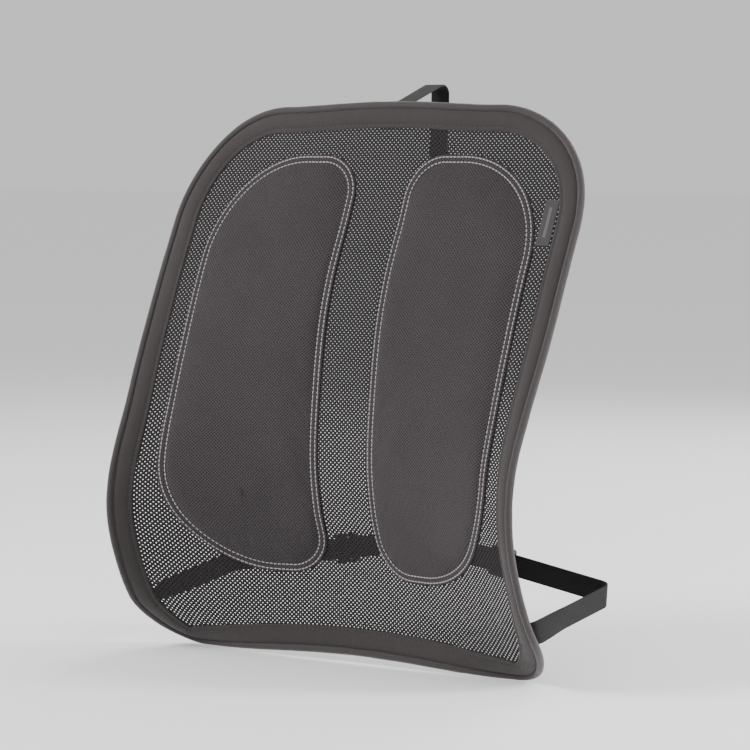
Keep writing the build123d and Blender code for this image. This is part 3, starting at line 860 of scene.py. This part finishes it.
def lower_run(side):
    """Where a lower strap leaves the ring, the way it runs and the way its outer face points."""
    slope, toe = math.radians(LOWER_SLOPE), math.radians(LOWER_TOE_IN)
    outward = ACROSS * side * math.cos(slope) - REAR_UP * math.sin(slope)
    middle = rear_point(RING_Z) + outward * RING_REACH
    travel = outward * math.cos(toe) - REAR_OUT * math.sin(toe)
    face = REAR_OUT * math.cos(toe) + outward * math.sin(toe)
    return middle, travel, face


def lower_strap(side, label):
    """From the ring, along the chair's rear and side, to a tab sewn behind the band."""
    middle, travel, face = lower_run(side)
    across = np.cross(face, travel)
    web = Web(middle - face * LOOP_RADIUS + travel * 3, -travel, across)
    web.forward(3.0)
    web.bend(180, LOOP_RADIUS, np.cross(-travel, face))
    web.forward((SIDE_X - CHAIR_CORNER_RADIUS - side * web.point[0]) / (side * web.travel[0]))
    to_side = math.degrees(math.atan2(side * web.travel[0], -web.travel[1]))
    web.bend(-side * to_side, CHAIR_CORNER_RADIUS, (0, 0, 1))
    web.forward(web.point[1] - TWIST_START_Y)
    end = (side * SEWN_X, TWIST_START_Y - TWIST_LENGTH, web.point[2] + web.travel[2] * TWIST_LENGTH)
    web.twist(side * TWIST_DEGREES, TWIST_LENGTH, np.array(end))
    web.bend(-side * 66, 7.0, (0, 0, 1))
    web.forward(9.0)
    rear = np.cross(web.travel, web.across)
    rear = rear * np.sign(rear[1])
    spot = web.point - web.travel * 4.5 + rear * TACK_LIFT
    sewn = tack(f"lower_strap_tack_{label}", spot, web.travel, web.across, rear, 7, 15)
    return web.piece(f"lower_strap_webbing_{label}"), sewn


def lower_return(side, label):
    """Layer of a lower strap on the chair's side, from the ring to its slider."""
    middle, travel, face = lower_run(side)
    across = np.cross(face, travel)
    start = middle - face * LOOP_RADIUS + travel * 2.5
    web = Web(start, travel, across)
    web.forward(LOWER_SLIDER_REACH - 6)
    return web.piece(f"lower_strap_return_{label}"), start, web.point


def buckle_strap():
    """Loop between the ring and the tongue, its two layers sewn together between the bars."""
    low = rear_point(RING_Z) + REAR_UP * RING_HALF_HEIGHT
    high = rear_point(HOUSING_BAR_Z) - REAR_UP * TONGUE_BAR_DROP
    length = float(np.linalg.norm(high - low))
    pinch = WEB_THICKNESS / 2 + 0.05
    neck = 13.0
    lean = math.degrees(math.atan2(LOOP_RADIUS - pinch, neck))
    web = Web(low + REAR_OUT * pinch + REAR_UP * length / 2, REAR_UP, ACROSS)
    slant = math.hypot(neck, LOOP_RADIUS - pinch)
    straight = length / 2 - neck - 1.0
    for end_gap in (0.0, 0.2):
        web.forward(straight)
        web.bend(-lean, 3.0, ACROSS)
        web.forward(slant)
        web.bend(180 + 2 * lean, LOOP_RADIUS, ACROSS)
        web.forward(slant)
        web.bend(-lean, 3.0, ACROSS)
        web.forward(straight - end_gap)
    strap = web.piece("buckle_strap_webbing")
    sewn = []
    for z_share in (0.3, 0.7):
        spot = low + REAR_UP * length * z_share + REAR_OUT * (2 * pinch + 0.1)
        sewn.append(tack("tack", spot, REAR_UP, ACROSS, REAR_OUT, 12, 14))
    return strap, sewn, low, high


# === Materials ===================================================

class Look:
    """A material under construction: short calls for its nodes."""

    def __init__(self, name):
        self.material = bpy.data.materials.new(name)
        self.material.use_nodes = True
        self.tree = self.material.node_tree
        self.shader = self.tree.nodes["Principled BSDF"]

    def node(self, kind, **values):
        node = self.tree.nodes.new(kind)
        for key, value in values.items():
            setattr(node, key, value)
        return node

    def link(self, source, target):
        self.tree.links.new(source, target)

    def put(self, socket, value):
        """Sets a socket to a number or a colour, or links another socket to it."""
        if isinstance(value, bpy.types.NodeSocket):
            self.link(value, socket)
        else:
            socket.default_value = value

    def math(self, operation, a, b=0.0, clamp=False):
        node = self.node("ShaderNodeMath", operation=operation, use_clamp=clamp)
        self.put(node.inputs[0], a)
        self.put(node.inputs[1], b)
        return node.outputs[0]

    def plus(self, a, b, clamp=False):
        return self.math("ADD", a, b, clamp)

    def times(self, a, b, clamp=False):
        return self.math("MULTIPLY", a, b, clamp)

    def weave_axes(self):
        """The weave's u and v, in millimetres."""
        coords = self.node("ShaderNodeUVMap", uv_map="weave")
        split = self.node("ShaderNodeSeparateXYZ")
        self.link(coords.outputs["UV"], split.inputs[0])
        u = self.times(split.outputs[0], 1000.0)
        v = self.times(split.outputs[1], 1000.0)
        return u, v

    def wave(self, value, pitch):
        """Sine of one axis, from 0 to 1, with the given pitch."""
        angle = self.times(value, 2 * math.pi / pitch)
        return self.plus(self.times(self.math("SINE", angle), 0.5), 0.5)

    def noise(self, scale, detail=3.0, roughness=0.55):
        node = self.node("ShaderNodeTexNoise")
        self.link(self.node("ShaderNodeTexCoord").outputs["Object"], node.inputs["Vector"])
        node.inputs["Scale"].default_value = scale
        node.inputs["Detail"].default_value = detail
        node.inputs["Roughness"].default_value = roughness
        return node.outputs["Fac"]

    def ramp(self, factor, stops):
        node = self.node("ShaderNodeValToRGB")
        elements = node.color_ramp.elements
        while len(elements) < len(stops):
            elements.new(0.5)
        for element, (place, colour) in zip(elements, stops):
            element.position = place
            element.color = (*colour, 1.0)
        self.put(node.inputs["Fac"], factor)
        return node.outputs["Color"]

    def between(self, factor, low, high):
        """A number from low to high as factor goes from 0 to 1."""
        node = self.node("ShaderNodeMapRange")
        self.put(node.inputs["Value"], factor)
        node.inputs["To Min"].default_value = low
        node.inputs["To Max"].default_value = high
        return node.outputs["Result"]

    def bump(self, height, distance, strength=1.0):
        node = self.node("ShaderNodeBump")
        node.inputs["Strength"].default_value = strength
        node.inputs["Distance"].default_value = distance
        self.put(node.inputs["Height"], height)
        return node.outputs["Normal"]

    def finish(self, colour, roughness, normal=None, sheen=0.0, metallic=0.0, specular=0.5):
        self.put(self.shader.inputs["Base Color"], colour)
        self.put(self.shader.inputs["Roughness"], roughness)
        self.shader.inputs["Metallic"].default_value = metallic
        self.shader.inputs["Specular IOR Level"].default_value = specular
        if sheen:
            self.shader.inputs["Sheen Weight"].default_value = sheen
            self.shader.inputs["Sheen Roughness"].default_value = 0.45
            self.shader.inputs["Sheen Tint"].default_value = (0.85, 0.8, 0.82, 1)
        if normal is not None:
            self.link(normal, self.shader.inputs["Normal"])
        return self.material


def scaled(colour, factor):
    return tuple(min(1.0, c * factor) for c in colour)


def woven_look(name, colour, pitch, depth, sheen, roughness):
    """Plain weave: warp and weft threads going over and under each other."""
    look = Look(name)
    u, v = look.weave_axes()
    warp = look.wave(u, pitch)
    weft = look.wave(v, pitch)
    half_u = look.wave(u, 2 * pitch)
    half_v = look.wave(v, 2 * pitch)
    crossing = look.times(look.math("SUBTRACT", half_u, 0.5), look.math("SUBTRACT", half_v, 0.5))
    over = look.math("GREATER_THAN", crossing, 0.0)
    threads = look.plus(look.times(over, warp), look.times(look.math("SUBTRACT", 1.0, over), weft))
    patches = look.noise(18.0, 4.0)
    blend = look.plus(look.times(threads, 0.6), look.times(patches, 0.25), clamp=True)
    tint = look.ramp(blend, [(0.0, scaled(colour, 0.35)), (0.45, colour), (1.0, scaled(colour, 1.9))])
    fuzz = look.noise(900.0, 2.0)
    height = look.plus(threads, look.times(fuzz, 0.35))
    normal = look.bump(height, depth, 0.9)
    rough = look.between(blend, roughness + 0.1, roughness - 0.08)
    return look.finish(tint, rough, normal, sheen, specular=0.35)


def knit_look(name, colour, pitch_u, pitch_v, sheen, depth=0.0004):
    """Warp knit: yarns round a quincunx of dimples, darker in the dimples as painted shade, with a painted
    highlight on the yarns' tops.
    """
    look = Look(name)
    u, v = look.weave_axes()
    along = look.math("COSINE", look.times(u, math.pi / pitch_u))
    across = look.math("COSINE", look.times(v, math.pi / pitch_v))
    # Mask of the dimples, which the ramp below darkens as painted shade.
    holes = look.math("MAXIMUM", look.times(along, across), 0.0)
    diagonal = look.wave(look.plus(u, look.times(v, 0.8)), 0.7)
    yarn = look.math("SUBTRACT", 1.0, holes)
    patches = look.noise(14.0, 4.0)
    fine = look.plus(look.times(diagonal, 0.14), look.times(patches, 0.2))
    level = look.plus(look.times(yarn, 0.75), fine, clamp=True)
    # Painted shade and highlight: the ramp's dark end shades the dimples and its bright top end (2.6x) is a
    # painted highlight on the yarns.
    tint = look.ramp(level, [(0.0, scaled(colour, 0.22)), (0.38, scaled(colour, 0.5)),
                             (0.72, colour), (1.0, scaled(colour, 2.6))])
    height = look.plus(yarn, look.times(diagonal, 0.25))
    normal = look.bump(height, depth, 1.0)
    return look.finish(tint, look.between(level, 0.92, 0.68), normal, sheen, specular=0.3)


def webbing_look(name, colour):
    """Elastic webbing: fine ribs along it and picks across it."""
    look = Look(name)
    u, v = look.weave_axes()
    ribs = look.wave(v, 1.35)
    picks = look.wave(look.plus(u, look.times(ribs, 0.35)), 0.9)
    threads = look.times(look.plus(look.times(picks, 0.6), 0.4), ribs)
    patches = look.noise(25.0, 3.0)
    level = look.plus(look.times(threads, 0.8), look.times(patches, 0.2), clamp=True)
    tint = look.ramp(level, [(0.0, scaled(colour, 0.3)), (0.5, colour), (1.0, scaled(colour, 2.4))])
    normal = look.bump(threads, 0.0004, 1.0)
    return look.finish(tint, look.between(level, 0.9, 0.7), normal, 0.1, specular=0.25)


def thread_look(name, colour):
    """Twisted sewing thread."""
    look = Look(name)
    u, v = look.weave_axes()
    twist = look.wave(look.plus(u, look.times(v, 0.18)), 0.7)
    tint = look.ramp(twist, [(0.0, scaled(colour, 0.45)), (0.6, colour), (1.0, scaled(colour, 1.35))])
    normal = look.bump(twist, 0.00012, 0.8)
    return look.finish(tint, 0.62, normal, 0.3, specular=0.4)


def plastic_look(name, colour):
    """Moulded plastic: fine spark texture, faint flow marks and paler worn edges."""
    look = Look(name)
    grain = look.noise(2600.0, 2.0)
    flow = look.noise(60.0, 4.0, 0.6)
    geometry = look.node("ShaderNodeNewGeometry")
    worn = look.math("SUBTRACT", geometry.outputs["Pointiness"], 0.52)
    worn = look.times(worn, 9.0, clamp=True)
    level = look.plus(look.times(flow, 0.5), worn, clamp=True)
    tint = look.ramp(level, [(0.0, scaled(colour, 0.7)), (0.4, colour), (1.0, scaled(colour, 2.6))])
    normal = look.bump(grain, 0.00006, 0.7)
    return look.finish(tint, look.between(flow, 0.36, 0.52), normal, specular=0.5)


def steel_look(name, colour, scratches):
    """Drawn or plated steel with fine marks."""
    look = Look(name)
    marks = look.noise(scratches, 5.0, 0.7)
    tint = look.ramp(marks, [(0.2, scaled(colour, 0.6)), (0.8, scaled(colour, 1.1))])
    normal = look.bump(marks, 0.00005, 0.5)
    return look.finish(tint, look.between(marks, 0.25, 0.5), normal, metallic=1.0)


def label_look(name, colour):
    """Satin label: fine ribs and a pale woven bar in its middle."""
    look = Look(name)
    u, v = look.weave_axes()
    ribs = look.wave(v, 0.5)
    inside_u = look.math("LESS_THAN", look.math("ABSOLUTE", u), 1.5)
    inside_v = look.math("LESS_THAN", look.math("ABSOLUTE", v), 13.0)
    bar = look.times(inside_u, inside_v)
    level = look.plus(look.times(ribs, 0.3), look.times(bar, 0.6), clamp=True)
    tint = look.ramp(level, [(0.0, scaled(colour, 0.75)), (0.3, colour),
                             (0.65, scaled(colour, 3.0)), (0.9, scaled(colour, 4.0))])
    normal = look.bump(look.plus(ribs, bar), 0.00015, 0.8)
    return look.finish(tint, 0.55, normal, 0.2)


def dress(obj, material):
    """Gives every slot of a piece one material."""
    obj.data.materials.clear()
    obj.data.materials.append(material)
    return obj


# === The pieces ==================================================

PIPING = woven_look("piping_cloth", (0.027, 0.0215, 0.0215), 0.9, 0.0002, 0.3, 0.48)
BAND = woven_look("band_cloth", (0.025, 0.0198, 0.0198), 0.95, 0.00022, 0.2, 0.66)
LINING = woven_look("lining_cloth", (0.014, 0.013, 0.0135), 0.8, 0.00018, 0.1, 0.8)
MESH = knit_look("mesh_cloth", (0.0072, 0.0060, 0.0063), MESH_PITCH_X, MESH_PITCH_Z, 0.02)
PAD = knit_look("pad_cloth", (0.0200, 0.0168, 0.0180), 1.6, 1.5, 0.08, depth=0.0006)
WEBBING = webbing_look("webbing", (0.0105, 0.0100, 0.0104))
THREAD = thread_look("light_thread", (0.36, 0.335, 0.33))
DARK_THREAD = thread_look("dark_thread", (0.035, 0.031, 0.031))
PLASTIC = plastic_look("moulded_plastic", (0.016, 0.016, 0.017))
STEEL = steel_look("spring_steel", (0.42, 0.42, 0.43), 180.0)
ZINC = steel_look("zinc_plate", (0.62, 0.62, 0.60), 90.0)
LABEL = label_look("label_weave", (0.026, 0.023, 0.024))


def place(obj, material, slot, nodes=()):
    """Fixes a piece to the cushion and hides the CAD nodes it stands for."""
    dress(obj, material)
    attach(obj, "cushion")
    if nodes:
        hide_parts(*nodes)
    return obj


place(edge_piping(), PIPING, "piping_fabric", nodes=("edge_piping",))
place(border_band(), BAND, "band_fabric", nodes=("border_band", "border_facing"))
place(mesh_panel(), MESH, "mesh_fabric", nodes=("mesh_panel",))
for side, label in ((1, "right"), (-1, "left")):
    place(pad_cover(side, label), PAD, "pad_fabric", nodes=(f"pad_cover_{label}", f"pad_foam_{label}"))
    place(pad_backing(side, label), LINING, "lining", nodes=(f"pad_backing_{label}",))
    place(pad_topstitch(side, label), THREAD, "thread", nodes=(f"pad_topstitch_{label}",))
place(border_topstitch(), DARK_THREAD, "thread", nodes=("border_topstitch",))
place(side_label(), LABEL, "label_weave", nodes=("side_label",))

strap, sewn = top_strap()
place(strap, WEBBING, "webbing", nodes=("top_strap",))
place(sewn, DARK_THREAD, "thread").name = "top_strap_tack"
for side, label in ((1, "right"), (-1, "left")):
    strap, sewn = lower_strap(side, label)
    place(strap, WEBBING, "webbing", nodes=(f"lower_strap_{label}",))
    place(sewn, DARK_THREAD, "thread")
    back, start, end = lower_return(side, label)
    dress(back, WEBBING)
    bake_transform(back)

back, start, end = top_return()
dress(back, WEBBING)
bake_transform(back)

loop, tacks, low, high = buckle_strap()
dress(loop, WEBBING)
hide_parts("buckle_strap")
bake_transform(loop)
for number, sewn in enumerate(tacks):
    sewn.name = f"buckle_strap_tack_{number + 1}"
    dress(sewn, DARK_THREAD)
    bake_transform(sewn)

for node in ("harness_ring", "buckle_housing", "buckle_tongue", "release_arm_right", "release_arm_left",
             "top_slider", "lower_slider_right", "lower_slider_left"):
    dress(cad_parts[node], PLASTIC)
dress(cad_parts["frame_wire"], STEEL)
dress(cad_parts["frame_ferrule"], ZINC)


# === Studio ======================================================

def pale_look(name, colour):
    look = Look(name)
    marks = look.noise(3.0, 2.0)
    tint = look.ramp(marks, [(0.0, scaled(colour, 0.985)), (1.0, colour)])
    return look.finish(tint, 0.85, specular=0.2)


def studio_floor():
    """Wide pale floor just under the object."""
    reach = 30000.0
    height = CAD_BOX[0][2] / MM - 0.5
    corners = [(x, y, height) for y in (-reach, reach) for x in (-reach, reach)]
    floor = make_mesh("studio_floor", np.array(corners), grid_faces(2, 2))
    dress(floor, pale_look("studio_paper", (0.96, 0.96, 0.965)))


def area_light(name, position, target, size, power, colour=(1, 1, 1)):
    data = bpy.data.lights.new(name, "AREA")
    data.shape = "RECTANGLE"
    data.size, data.size_y = size
    data.energy = power
    data.color = colour
    light = bpy.data.objects.new(name, data)
    bpy.context.scene.collection.objects.link(light)
    light.location = position
    light.rotation_euler = (Vector(target) - Vector(position)).to_track_quat("-Z", "Y").to_euler()


def studio():
    studio_floor()
    middle = (0.0, 0.0, 0.27)
    area_light("key", (-1.3, -1.7, 2.0), middle, (1.1, 1.1), 70.0, (1.0, 0.985, 0.97))
    area_light("window", (2.1, 0.8, 0.9), middle, (0.6, 1.8), 75.0, (0.98, 0.99, 1.0))
    area_light("fill", (1.6, -2.4, 1.1), middle, (1.8, 1.8), 12.0)
    area_light("behind", (-0.4, 2.3, 1.7), middle, (1.6, 1.2), 34.0)
    world = bpy.data.worlds.new("studio")
    world.use_nodes = True
    world.node_tree.nodes["Background"].inputs["Color"].default_value = (0.97, 0.975, 0.985, 1)
    world.node_tree.nodes["Background"].inputs["Strength"].default_value = 0.8
    bpy.context.scene.world = world


def camera():
    """Camera where the chair was seen from: to the right of the cushion and level with its top."""
    data = bpy.data.cameras.new("camera")
    data.lens = 150.0
    eye = Vector((1.6566, -2.2866, 0.460))
    target = Vector((0.010, 0.020, 0.262))
    view = bpy.data.objects.new("camera", data)
    view.location = eye
    view.rotation_euler = (target - eye).to_track_quat("-Z", "Y").to_euler()
    bpy.context.scene.collection.objects.link(view)
    bpy.context.scene.camera = view


studio()
camera()
